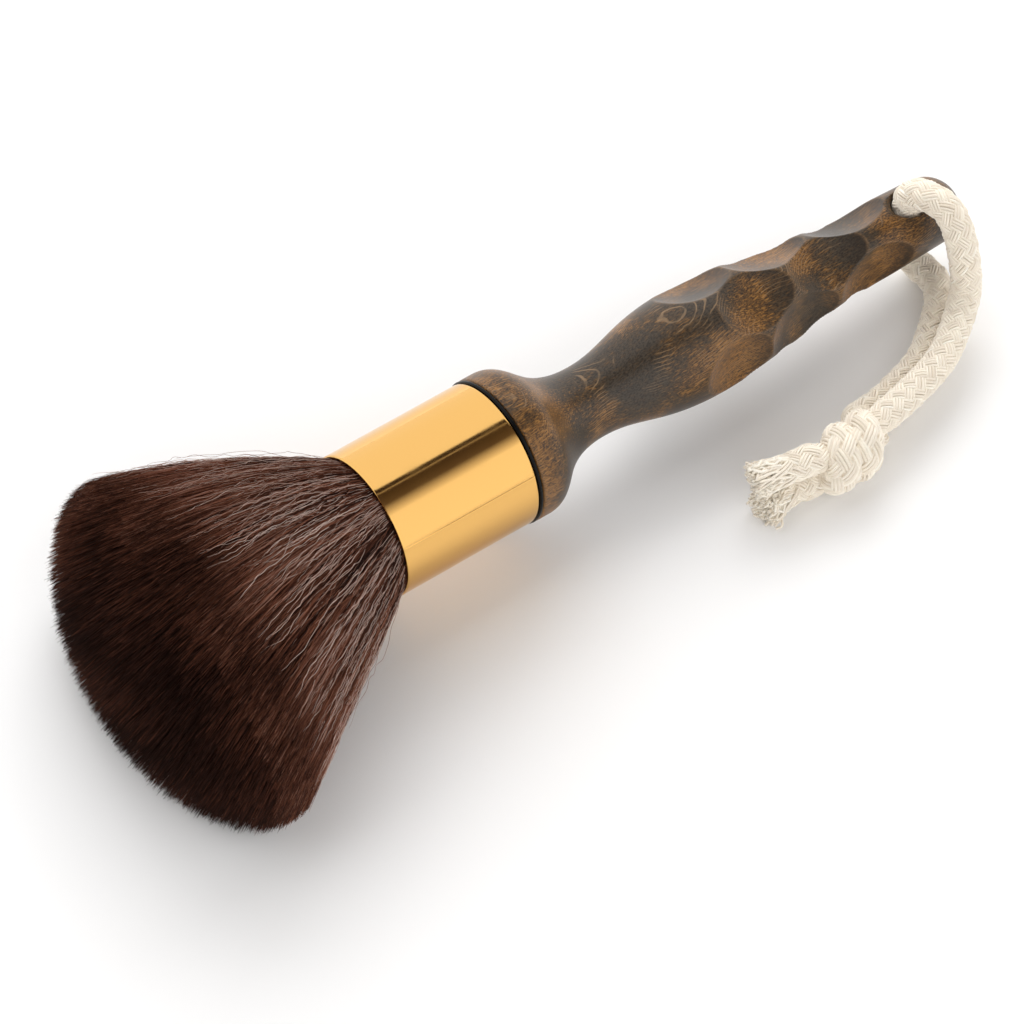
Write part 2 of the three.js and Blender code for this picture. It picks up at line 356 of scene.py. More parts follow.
def wrap_points(offset):
    """A turn round the knot, from under its near side over the top and down behind it.

    Its place along the knot is offset where the turn faces up and forward.
    """
    points = []
    for turn in np.radians(np.arange(150, -151, -25)):
        along = KNOT_MIDDLE[0] + offset + (WRAP_FACING - turn) / FULL_TURN * WRAP_PITCH
        points.append((
            along,
            KNOT_MIDDLE[1] - WRAP_RADIUS * sin(turn),
            KNOT_MIDDLE[2] + WRAP_RADIUS * cos(turn),
        ))
    return points


def half_route(leg, offset, shift, tail):
    """The leg, straight through the knot, the wrap back over it, through it again, and the tail."""
    x, y, z = KNOT_MIDDLE
    inward = [(x + 0.0045, y + 1.5 * shift, z + shift), (x - 0.004, y + shift, z - shift)]
    outward = [(x + 0.004, y + 0.001, z - shift), (x - 0.004, y + 0.001, z)]
    return [*leg, *inward, *wrap_points(offset), *outward, *tail]


BRAID_STEP = 0.42 * MM
CARRIERS = 6
YARNS = 4
YARN_RADIUS = 0.34 * MM
YARN_SPACING = 0.62 * MM
BRAID_PITCH = 23 * MM
CARRIER_DEPTH = 0.22 * MM
CARRIER_CROWN = 0.14 * MM
CROSSING_SHARPNESS = 2.2
CORE_RADIUS = 3.0 * MM
BRAID_MIDDLE = CORD_RADIUS - YARN_RADIUS - CARRIER_DEPTH
CORE_YARNS = 170
CORE_YARN_RADIUS = 0.3 * MM
LOOSE_FIBRES = 250
LOOSE_FIBRE_RADIUS = 0.055 * MM
FRAY_LENGTH = 11 * MM
FRAY_SPREAD = 1.1 * MM
FRAY_RADIUS = 2.7 * MM


def wander(count, length, size, bends):
    """Smooth random offsets of about a given size, one row for each line."""
    spots = np.linspace(0, 1, bends)
    heights = random.normal(0, size, (count, bends))
    at = np.linspace(0, 1, length)
    cell = np.clip((at * (bends - 1)).astype(int), 0, bends - 2)
    share = (at - spots[cell]) * (bends - 1)
    share = share * share * (3 - 2 * share)
    return heights[:, cell] * (1 - share) + heights[:, cell + 1] * share


def line_at(line, stations, at):
    return np.stack([np.interp(at, stations, line[:, k]) for k in range(3)], axis=-1)


def girth_along(line):
    """How thick the cord is at each point: squeezed inside the knot, and swollen in its wrap."""
    from_axis = np.hypot(*(line - HOLE - KNOT_MIDDLE)[:, 1:].T)
    from_middle = np.abs((line - HOLE - KNOT_MIDDLE)[:, 0])
    within = np.clip((KNOT_REACH - from_middle) / KNOT_EASE, 0, 1)
    wrapped = np.clip((from_axis - (WRAP_RADIUS - 1 * MM)) / (0.8 * MM), 0, 1)
    girth = 1 + within * (INNER_GIRTH - 1 + wrapped * (WRAP_GIRTH - INNER_GIRTH))
    return np.convolve(np.pad(girth, 8, mode="edge"), np.ones(17) / 17, mode="valid")


def yarn_lift(sideways, over, loose):
    """How far a yarn runs from the cord's middle: over is 1 where its group is on top of another
    and -1 where it is under it.
    """
    crown = CARRIER_CROWN * (1 - (sideways / (1.5 * YARN_SPACING)) ** 2)
    lift = BRAID_MIDDLE + CARRIER_DEPTH * over + crown + wander(1, len(loose), 0.03 * MM, 60)[0]
    return lift * (1 + loose * random.uniform(-0.7, 0.1)) + FRAY_SPREAD * loose ** 2


def braid(name, line):
    """Half the cord: a one-over-one-under braid of flat groups of yarns, loose at the far end."""
    _, first, second = carried_frame(line)
    stations = np.arange(len(line)) * BRAID_STEP
    loose = np.clip((stations - stations[-1] + FRAY_LENGTH) / FRAY_LENGTH, 0, 1)
    turning = FULL_TURN / BRAID_PITCH * np.cumsum((1 - loose) ** 2) * BRAID_STEP
    wave = np.tanh(CROSSING_SHARPNESS * np.cos(CARRIERS * turning)) * (1 - loose) ** 2
    tilt = np.arctan(FULL_TURN * BRAID_MIDDLE / BRAID_PITCH) * (1 - loose)
    girth = girth_along(line)
    lines, normals, tones = [], [], []
    for hand, carrier, yarn in product((1, -1), range(CARRIERS), range(YARNS)):
        sideways = (yarn - (YARNS - 1) / 2) * YARN_SPACING
        drift = wander(1, len(line), 0.05 * MM, 40)[0]
        drift = drift + wander(1, len(line), 0.7 * MM, 10)[0] * loose
        lift = yarn_lift(sideways, hand * wave, loose) * girth
        angle = FULL_TURN * carrier / CARRIERS + hand * turning
        angle = angle + (sideways + drift) * np.cos(tilt) / BRAID_MIDDLE
        at = stations - hand * sideways * np.sin(tilt) - loose * random.uniform(0, 1.5) * MM
        out = unit(first * np.cos(angle)[:, None] + second * np.sin(angle)[:, None])
        lines.append(line_at(line, stations, at) + out * lift[:, None])
        normals.append(out)
        tones.append(np.clip(random.normal(0.6, 0.18), 0, 1))
    lines = raised(np.array(lines), YARN_RADIUS)
    radii = np.full(lines.shape[:2], YARN_RADIUS) * (1 - 0.25 * loose) * np.maximum(girth, 1) ** 1.5
    return tubes(name, lines, radii, 5, tone=tones, near=np.array(normals))


def fray(name, line, count, radius, sides):
    """Yarns or fibres of the core where they show among the loose ends of the braid."""
    length = int(1.25 * FRAY_LENGTH / BRAID_STEP)
    line = line[-length:]
    _, first, second = carried_frame(line)
    stations = np.arange(length) * BRAID_STEP
    share = np.linspace(0, 1, length)
    lines = []
    for _ in range(count):
        angle = random.uniform(0, FULL_TURN) + wander(1, length, 0.16, 8)[0]
        away = FRAY_RADIUS * np.sqrt(random.uniform(0, 1)) * (1 + 0.5 * share ** 2)
        away = away + wander(1, length, 0.5 * MM, 11)[0] * share
        out = first * np.cos(angle)[:, None] + second * np.sin(angle)[:, None]
        at = stations - share * random.uniform(0, 1.8) * MM
        lines.append(line_at(line, stations, at) + out * away[:, None])
    lines = raised(np.array(lines), radius)
    radii = np.full(lines.shape[:2], radius)
    return tubes(name, lines, radii, sides, tone=random.normal(0.8, 0.2, count).clip(0, 1))


def make_cord():
    cotton = cotton_material()
    halves = (
        ("cord_upper", half_route(UPPER_LEG, WRAP_OFFSET, 1.0 * MM, UPPER_TAIL),
         ("cord_leg_upper", "cord_tail_upper", "cord_knot")),
        ("cord_lower", half_route(LOWER_LEG, -WRAP_OFFSET, -1.0 * MM, LOWER_TAIL),
         ("cord_leg_lower", "cord_tail_lower")),
    )
    for name, route, stands_for in halves:
        line = smooth_line(np.array(route) + HOLE, BRAID_STEP)
        piece = braid(name, line)
        bound = line[:-int(FRAY_LENGTH / BRAID_STEP)]
        core = tubes(name + "_core", bound[None], CORE_RADIUS * girth_along(bound)[None], 12,
                     tone=[0.3], near=carried_frame(bound)[1][None])
        ends = fray(name + "_fray", line, CORE_YARNS, CORE_YARN_RADIUS, 5)
        fluff = fray(name + "_fluff", line, LOOSE_FIBRES, LOOSE_FIBRE_RADIUS, 3)
        for part in (piece, core, ends, fluff):
            part.data.materials.append(cotton)
            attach(part, "cord_loop")
        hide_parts(*stands_for)


# The brush's own frame. A station is a distance along its axis from the ferrule's front rim, and a
# turn is measured from the top towards the near side.

LEAN = radians(3)
AXIS = np.array([cos(LEAN), 0, -sin(LEAN)])
OVER = np.array([sin(LEAN), 0, cos(LEAN)])
NEAR_SIDE = np.array([0.0, -1.0, 0.0])
FERRULE_LENGTH = 34.8 * MM
FERRULE_RADIUS = 17 * MM
FERRULE_WALL = 0.8 * MM
BORE_RADIUS = FERRULE_RADIUS - FERRULE_WALL
FILL_CLEARANCE = 0.3 * MM
FILLED_RADIUS = BORE_RADIUS - FILL_CLEARANCE
RIM = np.array(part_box("ferrule")[0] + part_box("ferrule")[1]) / 2 - AXIS * FERRULE_LENGTH / 2


def brush_point(station, radius, turn):
    """Points of the brush's frame in the row frame, from arrays that broadcast together."""
    station, radius, turn = (np.asarray(x)[..., None] for x in (station, radius, turn))
    return RIM + station * AXIS + radius * (np.cos(turn) * OVER + np.sin(turn) * NEAR_SIDE)


def grid_mesh(name, points, capped=False):
    """A closed surface from rows of points: rows are rings, closed on themselves.

    The last row joins the first, or both are capped by one face each.
    """
    rows, columns, _ = points.shape
    corner = np.arange(rows * columns).reshape(rows, columns)
    if not capped:
        corner = np.concatenate([corner, corner[:1]])
    beside = np.roll(corner, -1, axis=1)
    walls = np.stack([corner[:-1], beside[:-1], beside[1:], corner[1:]], axis=-1).reshape(-1, 4)
    faces = walls.tolist()
    if capped:
        faces += [corner[0, ::-1].tolist(), corner[-1].tolist()]
    mesh = bpy.data.meshes.new(name)
    mesh.from_pydata(points.reshape(-1, 3).tolist(), [], faces)
    mesh.shade_smooth()
    piece = bpy.data.objects.new(name, mesh)
    bpy.context.scene.collection.objects.link(piece)
    return piece


def turned(name, outline, columns):
    """An outline of (station, radius) points, turned round the brush's axis into a closed ring."""
    stations, radii = np.array(outline).T
    turn = np.arange(columns) * FULL_TURN / columns
    return grid_mesh(name, brush_point(stations[:, None], radii[:, None], turn[None]))


# Fibre tuft

TUFT_SHOULDER = 45 * MM
TUFT_REACH = 67 * MM
TUFT_HALF_WIDTH = 44.5 * MM
TUFT_HALF_HEIGHT = 33 * MM
TUFT_DROOP = 13 * MM
TUFT_SWAY = 4 * MM
TUFT_FAN_POWER = 0.9
ROOT_DEPTH = -3 * MM
MASS_REACH = 59 * MM
MASS_SHARE = 0.86
MASS_LEAD = 5 * MM
CLUMPS = 2600
UPPER_SIDE = radians(122)


def fan(depth, half):
    """How far the tuft's outermost fibres stand from its axis at a depth out of the ferrule."""
    share = np.maximum(depth, 0) / TUFT_SHOULDER
    return FILLED_RADIUS + (half - FILLED_RADIUS) * share ** TUFT_FAN_POWER


def tip_depth(place):
    """Where a fibre ends on the dome, from its place between the axis, 0, and the outside, 1."""
    depths = np.linspace(TUFT_REACH, TUFT_SHOULDER, 60)
    dome = np.sqrt(1 - ((depths - TUFT_SHOULDER) / (TUFT_REACH - TUFT_SHOULDER)) ** 2)
    return np.interp(place, TUFT_HALF_WIDTH * dome / fan(depths, TUFT_HALF_WIDTH), depths)


def dome_share(depth):
    """The share of the way out that the tuft's outside has at a depth."""
    if depth <= TUFT_SHOULDER:
        return 1.0
    dome = 1 - ((depth - TUFT_SHOULDER) / (TUFT_REACH - TUFT_SHOULDER)) ** 2
    return TUFT_HALF_WIDTH * max(dome, 0) ** 0.5 / fan(depth, TUFT_HALF_WIDTH)


def tuft_points(across, upwards, depth):
    """Points in the tuft, from places across and upwards between -1 and 1 and depths."""
    bend = (np.maximum(depth, 0) / TUFT_REACH) ** 2
    sideways = across * fan(depth, TUFT_HALF_WIDTH) - TUFT_SWAY * bend
    rise = upwards * fan(depth, TUFT_HALF_HEIGHT) - TUFT_DROOP * bend
    side = np.array([0.0, 1.0, 0.0])
    return RIM - depth[..., None] * AXIS + rise[..., None] * OVER + sideways[..., None] * side


def fibre_places(count, inside, outside, on_lit_side=False):
    """Random places between two shares of the way out, even over the tuft's section or,
    for the fibres whose light tone is painted highlight, mostly on its upper, lit side.
    """
    away = np.sqrt(random.uniform(inside ** 2, outside ** 2, count))
    turn = random.normal(UPPER_SIDE, 1.25, count) if on_lit_side else random.uniform(0, FULL_TURN, count)
    return np.stack([away * np.cos(turn), away * np.sin(turn)], axis=1)


def fibre_lines(count, length, inside, outside, begin, end, gather=0.2, stray=0.0, on_lit_side=False):
    """Lines of fibres from one share of their length to another, in small clumps at their tips."""
    places = fibre_places(count, inside, outside, on_lit_side)
    clumps = fibre_places(CLUMPS, 0, 1)
    nearest = np.array([np.argmin(((clumps - place) ** 2).sum(axis=1)) for place in places])
    begin, end = (np.broadcast_to(np.asarray(x, float), (count,))[:, None] for x in (begin, end))
    share = begin + (end - begin) * np.linspace(0, 1, length)[None]
    pull = gather * share ** 2
    across = places[:, :1] * (1 - pull) + clumps[nearest, :1] * pull
    upwards = places[:, 1:] * (1 - pull) + clumps[nearest, 1:] * pull
    across = across - upwards * wander(count, length, stray, 5)
    upwards = upwards + across * wander(count, length, stray, 5)
    uneven = random.normal(0, 0.22 * MM, CLUMPS)[nearest] + random.normal(0, 0.42 * MM, count)
    reach = tip_depth(np.hypot(*places.T)) + uneven
    depth = ROOT_DEPTH + (reach[:, None] - ROOT_DEPTH) * share
    return tuft_points(across, upwards, depth), share, places


def crimped(lines, share, size, wavelength):
    """The same lines with an uneven wave in them, which starts where they leave the ferrule."""
    count = len(lines)
    waves = TUFT_REACH / wavelength * FULL_TURN * random.uniform(0.6, 1.3, (count, 1)) * share
    waves = waves + wander(count, lines.shape[1], 1.3, 12)
    size = size * random.uniform(0.4, 1.4, (count, 1)) * np.minimum(1, 8 * share)
    waved = lines.copy()
    for axis in (1, 2):
        phase = random.uniform(0, FULL_TURN, (2, count, 1))
        waved[..., axis] += size * (np.sin(waves + phase[0]) + 0.7 * np.sin(0.43 * waves + phase[1]))
    return raised(waved, random.uniform(0.1, 0.7, (count, 1)) * MM)


OUTER_FIBRES = 13000
INNER_FIBRES = 18000
CRIMPED_FIBRES = 1100
PALE_FIBRES = 330
STRAY_FIBRES = 50
FACES_IN_PIECE = 190000


def fibre_pieces(name, lines, thickness, tones, finish):
    """Fibres as thin three-sided tubes that taper to their tips, shared out over a few pieces."""
    count, length, _ = lines.shape
    taper = np.minimum(1, 0.35 + 4 * (1 - np.linspace(0, 1, length)))
    radii = thickness[:, None] * taper[None]
    per_piece = FACES_IN_PIECE // (6 * length)
    for part, start in enumerate(range(0, count, per_piece), start=1):
        chosen = slice(start, start + per_piece)
        piece = tubes(f"{name}_{part}", lines[chosen], radii[chosen], 3, tone=tones[chosen])
        piece.data.materials.append(finish)
        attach(piece, "brush")


def make_shade_core(finish):
    """A closed, near-black solid a little inside the fibres that show: painted shade, standing for the
    shade deep among the fibres of the tuft's middle.
    """
    depth = ROOT_DEPTH + MASS_REACH * np.sin(np.linspace(0, pi / 2, 24))
    size = MASS_SHARE * np.array([dome_share(d + MASS_LEAD) for d in depth])
    turn = np.arange(64) * FULL_TURN / 64
    across = size[:, None] * np.cos(turn)
    upwards = size[:, None] * np.sin(turn)
    points = tuft_points(across, upwards, np.broadcast_to(depth[:, None], across.shape))
    mass = grid_mesh("fibre_mass", raised(points, 0.8 * MM), capped=True)
    mass.data.materials.append(finish)
    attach(mass, "brush")
    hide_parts("bristle_tuft")


def streaks(places):
    """Slow changes of tone from one part of the tuft to the next."""
    across, upwards = places.T
    bands = np.sin(9 * across + 2 * np.sin(5 * upwards))
    ripples = np.sin(11 * upwards + 7 * across + 1)
    return 0.06 * across + 0.045 * (bands + ripples)


def add_outer_fibres(finish):
    """The fibres that show along their whole length."""
    lines, share, places = fibre_lines(OUTER_FIBRES, 14, inside=0.84, outside=1.0, begin=0, end=1)
    tones = random.normal(0.46, 0.19, len(lines)) + streaks(places)
    # Painted light: the tips of the outer fibres on the near side are made lighter.
    lit_near_tips = np.clip(-places[:, :1], 0, 1) ** 2 * share ** 2
    tones = tones[:, None] + 0.24 * np.sin(pi * share ** 2) - 0.02 + 0.2 * lit_near_tips
    lines = crimped(lines, share, 0.22 * MM, 17 * MM)
    fibre_pieces("fibres_outer", lines, random.uniform(0.05, 0.09, len(lines)) * MM,
                 np.clip(tones, 0, 0.84), finish)


def add_inner_fibres(finish):
    """The fibres of the middle, from where they come out of the near-black shade core to their tips;
    they carry painted shade, darker towards the tuft's middle.
    """
    lines, share, places = fibre_lines(INNER_FIBRES, 7, inside=0.0, outside=0.88, begin=0.66, end=1)
    away = np.hypot(*places.T)
    # Painted shade: fibres nearer the tuft's middle are made darker, on top of their random tone.
    tones = random.normal(0.31, 0.14, len(lines)) + 0.2 * np.clip((away - 0.55) / 0.33, 0, 1)
    tones += streaks(places)
    lines = crimped(lines, share, 0.15 * MM, 30 * MM)
    fibre_pieces("fibres_inner", lines, random.uniform(0.05, 0.09, len(lines)) * MM,
                 np.clip(tones, 0, 0.7), finish)


def add_crimped_fibres(finish):
    """Light brown fibres in tight waves, mostly on the upper side near the ferrule; the fibres are real,
    their light tone is painted highlight on the lit side.
    """
    begin = random.uniform(-0.1, 0.6, CRIMPED_FIBRES).clip(0)
    end = np.minimum(begin + random.uniform(0.3, 0.7, CRIMPED_FIBRES), 0.98)
    lines, share, _ = fibre_lines(CRIMPED_FIBRES, 60, inside=0.96, outside=1.0, begin=begin, end=end,
                                  gather=0.1, stray=0.012, on_lit_side=True)
    tones = random.normal(0.74, 0.07, len(lines))
    lines = crimped(lines, share, 0.13 * MM, 6.5 * MM)
    fibre_pieces("fibres_crimped", lines, random.uniform(0.025, 0.05, len(lines)) * MM,
                 np.clip(tones, 0, 1), finish)


def add_pale_fibres(finish):
    """A few pale fibres, also crimped, that lie on top of the rest; the fibres are real, their pale tone
    is painted highlight.
    """
    begin = random.uniform(-0.15, 0.4, PALE_FIBRES).clip(0)
    end = np.minimum(begin + random.uniform(0.4, 0.8, PALE_FIBRES), 0.97)
    lines, share, _ = fibre_lines(PALE_FIBRES, 70, inside=0.99, outside=1.012, begin=begin, end=end,
                                  gather=0.1, stray=0.02, on_lit_side=True)
    tones = random.normal(0.95, 0.04, len(lines))
    lines = crimped(lines, share, 0.14 * MM, 5.5 * MM)
    fibre_pieces("fibres_pale", lines, random.uniform(0.04, 0.065, len(lines)) * MM,
                 np.clip(tones, 0, 1), finish)


def add_stray_fibres(finish):
    """Single fibres that stand away from the tuft."""
    end = random.uniform(0.5, 0.9, STRAY_FIBRES)
    lines, share, _ = fibre_lines(STRAY_FIBRES, 70, inside=0.99, outside=1.0, begin=0, end=end,
                                  gather=0.1, stray=0.05)
    lines = crimped(lines, share, 0.2 * MM, 6 * MM)
    size = np.abs(random.normal(0, 1, (STRAY_FIBRES, 1))) * 1.6 * MM
    out = unit(lines - (lines @ AXIS - RIM @ AXIS)[..., None] * AXIS - RIM)
    lines = raised(lines + out * (size * np.sin(pi * share) ** 1.5)[..., None], 0.2 * MM)
    fibre_pieces("fibres_stray", lines, np.full(STRAY_FIBRES, 0.045 * MM),
                 np.full(STRAY_FIBRES, 0.8), finish)


def make_tuft():
    finish = fibre_material()
    make_shade_core(finish)
    add_outer_fibres(finish)
    add_inner_fibres(finish)
    add_crimped_fibres(finish)
    add_pale_fibres(finish)
    add_stray_fibres(finish)


# Ferrule and spacer ring

GAP = 0.15 * MM
SPACER_RADIUS = 17.3 * MM
SPACER_THICKNESS = 0.8 * MM
SPACER_STATION = FERRULE_LENGTH + GAP
SEAM_TURN = radians(61)
SEAM_HALF_WIDTH = 0.09 * MM
SEAM_DEPTH = 0.12 * MM


def make_ferrule():
    """A thin tube with a rounded front rim and a rolled-over seam along it."""
    edge = FERRULE_WALL / 2
    bends = np.linspace(pi, FULL_TURN, 9)
    front = [(edge + edge * sin(a), BORE_RADIUS + edge + edge * cos(a)) for a in bends]
    outline = [(FERRULE_LENGTH, BORE_RADIUS), (20 * MM, BORE_RADIUS), *front]
    ends = (FERRULE_LENGTH - 0.6 * MM, FERRULE_LENGTH - 0.2 * MM)
    stops = (0.8 * MM, *np.arange(6, 31, 6) * MM, *ends)
    outline += [(station, FERRULE_RADIUS) for station in stops]
    outline += [(FERRULE_LENGTH, FERRULE_RADIUS - 0.2 * MM)]
    stations, radii = np.array(outline).T
    groove = SEAM_HALF_WIDTH / FERRULE_RADIUS
    turn = np.arange(256) * FULL_TURN / 256
    turn = np.sort(np.concatenate([turn, SEAM_TURN + groove * np.array([-1, -0.4, 0.4, 1])]))
    deep = np.abs(turn - SEAM_TURN) < 0.7 * groove
    outer = (radii > BORE_RADIUS + 1.9 * edge) & (stations > 1 * MM)
    depth = np.where(outer[:, None] & deep[None], SEAM_DEPTH, 0)
    points = brush_point(stations[:, None], radii[:, None] - depth, turn[None])
    piece = grid_mesh("ferrule_tube", points)
    piece.data.materials.append(gold_material())
    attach(piece, "brush")
    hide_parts("ferrule")


def make_spacer():
    """A flat black ring with a rounded rim, between the ferrule and the collar."""
    edge = SPACER_THICKNESS / 2
    middle = SPACER_STATION + edge
    bends = np.linspace(-pi / 2, pi / 2, 13)
    rounded = [(middle + edge * sin(a), SPACER_RADIUS - edge + edge * cos(a)) for a in bends]
    outline = [(middle + edge, BORE_RADIUS), (middle - edge, BORE_RADIUS), *rounded]
    piece = turned("spacer", outline, 256)
    piece.data.materials.append(black_material())
    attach(piece, "brush")
    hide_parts("spacer_ring")


def finish_plug():
    """The plug that holds the fibres is out of sight, so the CAD's own solid stands for it."""
    paint = Paint("resin", Specular_IOR_Level=0.4)
    cloud = paint.noise(paint.place(), 0.3, detail=3.0)
    paint.set(paint.shader, {
        "Base_Color": paint.ramp(cloud, (0.3, (0.05, 0.03, 0.012)), (0.7, (0.11, 0.065, 0.03))),
        "Roughness": paint.ramp(cloud, (0.3, 0.25), (0.7, 0.45)),
    })
    plug = bpy.data.objects["resin_plug"]
    plug.data.materials.clear()
    plug.data.materials.append(paint.material)


def gold_material():
    paint = Paint("gold", Base_Color=(0.77, 0.45, 0.14, 1), Metallic=1.0)
    where = paint.place()
    smear = paint.noise(where, 0.12, detail=3.0)
    fine = paint.noise(where, 1.2, detail=3.0)
    paint.set(paint.shader, {
        "Roughness": paint.ramp(smear, (0.3, 0.06), (0.75, 0.16)),
        "Normal": paint.bump(fine, 0.01 * MM, 0.25),
    })
    return paint.material


def black_material():
    paint = Paint("black", Base_Color=(0.004, 0.004, 0.004, 1), Specular_IOR_Level=0.12)
    grain = paint.noise(paint.place(), 2.0, detail=3.0)
    paint.set(paint.shader, {
        "Roughness": paint.ramp(grain, (0.3, 0.18), (0.7, 0.34)),
        "Normal": paint.bump(grain, 0.01 * MM, 0.2),
    })
    return paint.material


# Handle

COLLAR_STATION = SPACER_STATION + SPACER_THICKNESS + GAP
COLLAR_LENGTH = 3.5 * MM
SHOULDER_STATION = COLLAR_STATION + COLLAR_LENGTH
COLLAR_RADIUS = 17.3 * MM
COLLAR_ROUNDING = 0.7 * MM
NECK_STATION, NECK_RADIUS = 60 * MM, 8.5 * MM
BELLY_STATION, BELLY_RADIUS = 90 * MM, 12.9 * MM
TAIL_STATION, TAIL_RADIUS = 139 * MM, 8.6 * MM
# How far each curve of the outline keeps the direction it has at its two ends.
COLLAR_TO_NECK = (7 * MM, 14 * MM)
NECK_TO_BELLY = (10 * MM, 16 * MM)
BELLY_TO_TAIL = (14 * MM, 17 * MM)
DOME_RADIUS = 8 * MM
END_STATION = 163.7 * MM
TENON_LENGTH = 14.4 * MM
TENON_STATION = COLLAR_STATION - TENON_LENGTH
TENON_CHAMFER = 0.8 * MM
HOLE_RADIUS = 4 * MM
HOLE_BEND = 6 * MM

DIMPLE_ROWS = 6
DIMPLE_PITCH = 20.9 * MM
DIMPLE_DEPTH = 2.6 * MM
DIMPLE_FIRST_STATION = 94.4 * MM
DIMPLE_CURVATURE_ALONG = 22 * MM
DIMPLE_CURVATURE_ACROSS = 34 * MM
DIMPLE_ROLL = radians(24)
DIMPLE_EDGE = 0.25 * MM


def sweep(start, end, pulls):
    """A curve between two (station, radius) points that leaves and arrives along the axis."""
    leaving, arriving = pulls
    a, d = np.array(start), np.array(end)
    b, c = a + (leaving, 0), d - (arriving, 0)
    t = np.linspace(0, 1, 40)[:, None]
    return (1 - t) ** 3 * a + 3 * (1 - t) ** 2 * t * b + 3 * (1 - t) * t ** 2 * c + t ** 3 * d


def body_outline():
    """The turned wood from the collar's edge to the end, as (station, radius) points."""
    shoulder = (SHOULDER_STATION, COLLAR_RADIUS)
    neck = (NECK_STATION, NECK_RADIUS)
    belly = (BELLY_STATION, BELLY_RADIUS)
    tail = (TAIL_STATION, TAIL_RADIUS)
    narrowing = sweep(shoulder, neck, COLLAR_TO_NECK)
    swelling = sweep(neck, belly, NECK_TO_BELLY)
    tapering = sweep(belly, tail, BELLY_TO_TAIL)
    bends = np.linspace(0, pi / 2, 40)
    middle = END_STATION - DOME_RADIUS
    dome = np.stack([middle + DOME_RADIUS * np.sin(bends), DOME_RADIUS * np.cos(bends)], axis=1)
    return np.concatenate([narrowing, swelling[1:], tapering[1:], dome])


def dimple_places():
    """The roll and station of each scoop; every second row starts later and has one fewer."""
    places = []
    for row in range(DIMPLE_ROWS):
        late = row % 2 == 0
        first = DIMPLE_FIRST_STATION + (DIMPLE_PITCH / 2 if late else 0)
        for index in range(2 if late else 3):
            places.append((DIMPLE_ROLL + row * FULL_TURN / DIMPLE_ROWS, first + index * DIMPLE_PITCH))
    return places


def scoop_radius(stations, turn):
    """The radius of the nearest scoop's surface at each place, or far out where there is none."""
    outline = body_outline()
    nearest = np.full(np.broadcast(stations, turn).shape, 1.0)
    for roll, station in dimple_places():
        body = np.interp(station, outline[:, 0], outline[:, 1])
        away = body - DIMPLE_DEPTH + DIMPLE_CURVATURE_ALONG
        off = np.cos(turn - roll)
        square = (1 - off ** 2) / DIMPLE_CURVATURE_ACROSS ** 2 + off ** 2 / DIMPLE_CURVATURE_ALONG ** 2
        middle = away * off / DIMPLE_CURVATURE_ALONG ** 2
        rest = ((stations - station) / DIMPLE_CURVATURE_ALONG) ** 2
        rest = rest + (away / DIMPLE_CURVATURE_ALONG) ** 2 - 1
        inside = middle ** 2 - square * rest
        cut = (middle - np.sqrt(np.maximum(inside, 0))) / square
        nearest = np.minimum(nearest, np.where((inside > 0) & (off > 0), cut, 1.0))
    return nearest


def scooped(stations, radii, turn):
    """The radius of the wood once the scoops are cut, with edges worn a little round."""
    cut = scoop_radius(stations[:, None], turn[None])
    body = radii[:, None]
    blend = np.clip(0.5 + 0.5 * (cut - body) / DIMPLE_EDGE, 0, 1)
    return cut * (1 - blend) + body * blend - DIMPLE_EDGE * blend * (1 - blend)


def mark_scoops(piece):
    """Stores how near a scoop's rim the wood's points are, whether they are in it, and, in
    it, how steeply the wood rises towards the far end, where the wood's colour darkens that
    wall of each scoop as painted shade.
    """
    points = np.empty(len(piece.data.vertices) * 3, np.float32)
    piece.data.vertices.foreach_get("co", points)
    points = points.reshape(-1, 3) - RIM
    station = points @ AXIS
    turn = np.arctan2(points @ NEAR_SIDE, points @ OVER)
    outline = body_outline()
    body = np.interp(station, outline[:, 0], outline[:, 1])
    depth = (body - scoop_radius(station, turn)) / MM
    rim = np.exp(-(depth / 0.16) ** 2)
    inside = np.clip(depth / 0.8, 0, 1)
    step = 0.5 * MM
    slope = (scoop_radius(station + step, turn) - scoop_radius(station - step, turn)) / (2 * step)
    # Painted shade: the steeper a scoop's wall rises towards the far end, the darker it is painted.
    rising = np.where(depth > 0, np.clip(slope / 0.35 - 0.2, 0, 1), 0)
    for name, values in (("rim", rim), ("scoop", inside), ("rising", rising)):
        attribute = piece.data.attributes.new(name, "FLOAT", "POINT")
        attribute.data.foreach_set("value", values.astype(np.float32))


def hole_cutter():
    """The upright hole for the cord, with rounded mouths."""
    start = -LYING - HOLE_BEND
    edge = HOLE_BEND - HOLE_RADIUS
    bends = np.linspace(pi, pi / 2, 8)
    reach = 2 * DOME_RADIUS
    upper = [(HOLE_BEND + edge * cos(a), start + edge * sin(a)) for a in bends] + [(HOLE_BEND, reach)]
    profile = np.array([(r, -z) for r, z in reversed(upper)] + upper)
    turn = np.arange(96) * FULL_TURN / 96
    points = np.stack(np.broadcast_arrays(
        HOLE[0] + profile[:, :1] * np.cos(turn),
        HOLE[1] + profile[:, :1] * np.sin(turn),
        HOLE[2] + profile[:, 1:],
    ), axis=-1)
    return grid_mesh("hole_cutter", points, capped=True)


def front_outline():
    """The tenon and the collar's rounded front edge, as (station, radius) points."""
    tenon = [
        (TENON_STATION, FILLED_RADIUS - TENON_CHAMFER),
        (TENON_STATION + TENON_CHAMFER, FILLED_RADIUS),
        (COLLAR_STATION, FILLED_RADIUS),
    ]
    edge = [(COLLAR_STATION + COLLAR_ROUNDING * (1 - cos(a)),
             COLLAR_RADIUS - COLLAR_ROUNDING * (1 - sin(a))) for a in np.linspace(0, pi / 2, 6)]
    return np.array(tenon + edge)


